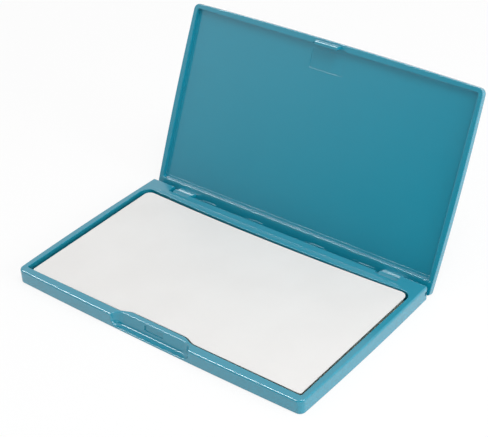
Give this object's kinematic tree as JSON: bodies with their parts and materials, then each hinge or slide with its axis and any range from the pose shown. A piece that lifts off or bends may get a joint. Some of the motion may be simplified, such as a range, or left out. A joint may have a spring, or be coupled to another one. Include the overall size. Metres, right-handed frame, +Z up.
{
  "type": "wet palette",
  "caption": "Slim pocket wet palette: a hinged plastic case whose tray holds a damp sponge under a sheet of palette paper, with a thumb scoop and a latch tongue.",
  "frame": {"origin": "middle of the tray's flat underside, on the surface that it stands on", "axes": "+Z up, +X along the hinge axis, -Y towards the front edge with the thumb scoop; the rest pose has the lid open on its stop"},
  "size_m": [0.11, 0.0946, 0.0597],
  "materials": {
    "case_plastic": "satin moulded teal plastic",
    "pin_steel": "drawn wire",
    "sponge_foam": "open-cell hydration foam, damp",
    "paper": "smooth white membrane paper, slightly glossy"
  },
  "bodies": {
    "tray": {"base_tray": "case_plastic", "hinge_pin_left": "pin_steel", "hinge_pin_right": "pin_steel", "sponge": "sponge_foam", "palette_paper": "paper"},
    "lid": {"lid": "case_plastic"}
  },
  "joints": [
    {"name": "lid_hinge", "type": "hinge", "parent": "tray", "child": "lid", "pos_m": [0, 0.0314, 0.0024], "axis": [1, 0, 0], "range_deg": [0, 114.3]}
  ]
}
